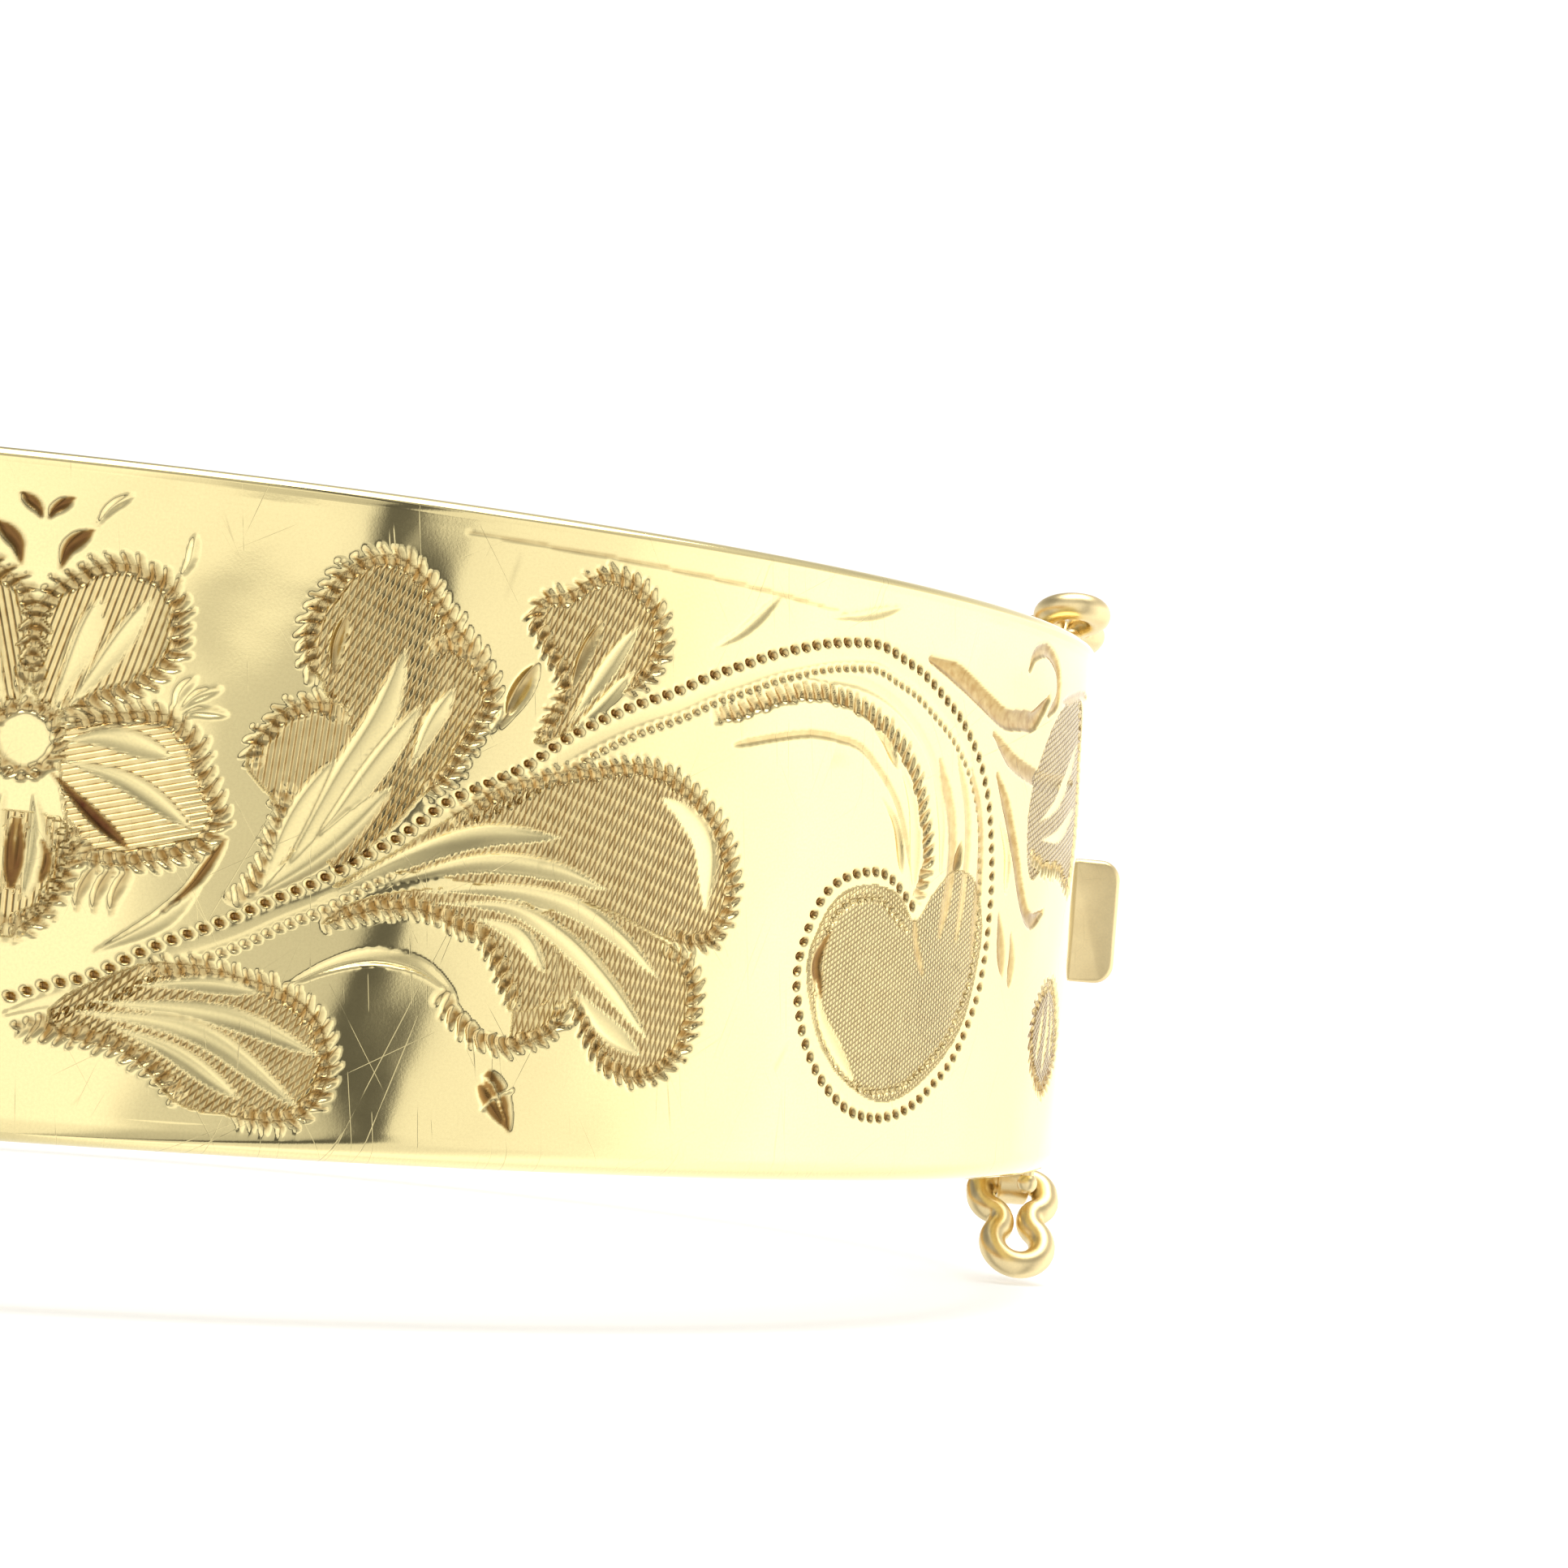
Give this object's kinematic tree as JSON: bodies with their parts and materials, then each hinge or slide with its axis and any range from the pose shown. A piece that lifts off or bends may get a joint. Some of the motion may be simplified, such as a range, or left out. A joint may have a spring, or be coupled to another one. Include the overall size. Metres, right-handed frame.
{
  "type": "hinged bangle bracelet",
  "caption": "Oval hollow hinged bangle with a scroll-engraved front half, a tongue and box clasp with a thumbpiece, and a figure-eight wire catch on each edge.",
  "frame": {"origin": "centre of the oval, halfway across the band's width", "axes": "+Z along the axis of the wrist, +X towards the clasp, -X at the hinge, -Y at the engraved front half"},
  "size_m": [0.0661, 0.054, 0.0216],
  "materials": {
    "engraved_gold": "mirror-polished yellow gold with bright-cut scroll engraving",
    "polished_gold": "mirror-polished yellow gold with fine wear scratches",
    "inner_gold": "satin yellow gold, worn smooth",
    "clasp_gold": "warmer yellow gold, softly polished, darker in the recesses"
  },
  "bodies": {
    "front_half": {"front_outer_shell": "engraved_gold", "front_inner_liner": "inner_gold", "front_hinge_bar": "inner_gold", "clasp_box": "inner_gold", "front_knuckle_1": "polished_gold", "front_knuckle_3": "polished_gold", "front_knuckle_5": "polished_gold", "hinge_pin": "polished_gold", "upper_catch_peg": "clasp_gold", "lower_catch_peg": "clasp_gold"},
    "back_half": {"back_outer_shell": "polished_gold", "back_inner_liner": "inner_gold", "back_hinge_bar": "inner_gold", "tongue_bar": "inner_gold", "tongue_base_leaf": "clasp_gold", "back_knuckle_2": "polished_gold", "back_knuckle_4": "polished_gold", "upper_catch_tube": "clasp_gold", "lower_catch_tube": "clasp_gold"},
    "spring_tongue": {"tongue_spring_leaf": "clasp_gold", "thumbpiece": "clasp_gold"},
    "upper_catch": {"upper_catch_loop": "clasp_gold"},
    "lower_catch": {"lower_catch_loop": "clasp_gold"}
  },
  "joints": [
    {"name": "main_hinge", "type": "hinge", "parent": "front_half", "child": "back_half", "pos_m": [-0.03165, 0, 0], "axis": [0, 0, 1], "range_deg": [0, 80]},
    {"name": "thumbpiece_press", "type": "hinge", "parent": "back_half", "child": "spring_tongue", "pos_m": [0.03014, -0.00615, 0], "axis": [0, 0, 1], "range_deg": [0, 6], "stiffness_Nm_per_rad": 0.06},
    {"name": "upper_catch_swing", "type": "hinge", "parent": "back_half", "child": "upper_catch", "pos_m": [0.03143, -0.00075, 0.0088], "axis": [-0.9958, 0.0919, 0], "range_deg": [-19.7, 90]},
    {"name": "lower_catch_swing", "type": "hinge", "parent": "back_half", "child": "lower_catch", "pos_m": [0.03143, -0.00075, -0.0088], "axis": [0.9958, -0.0919, 0], "range_deg": [-52.2, 57]}
  ]
}
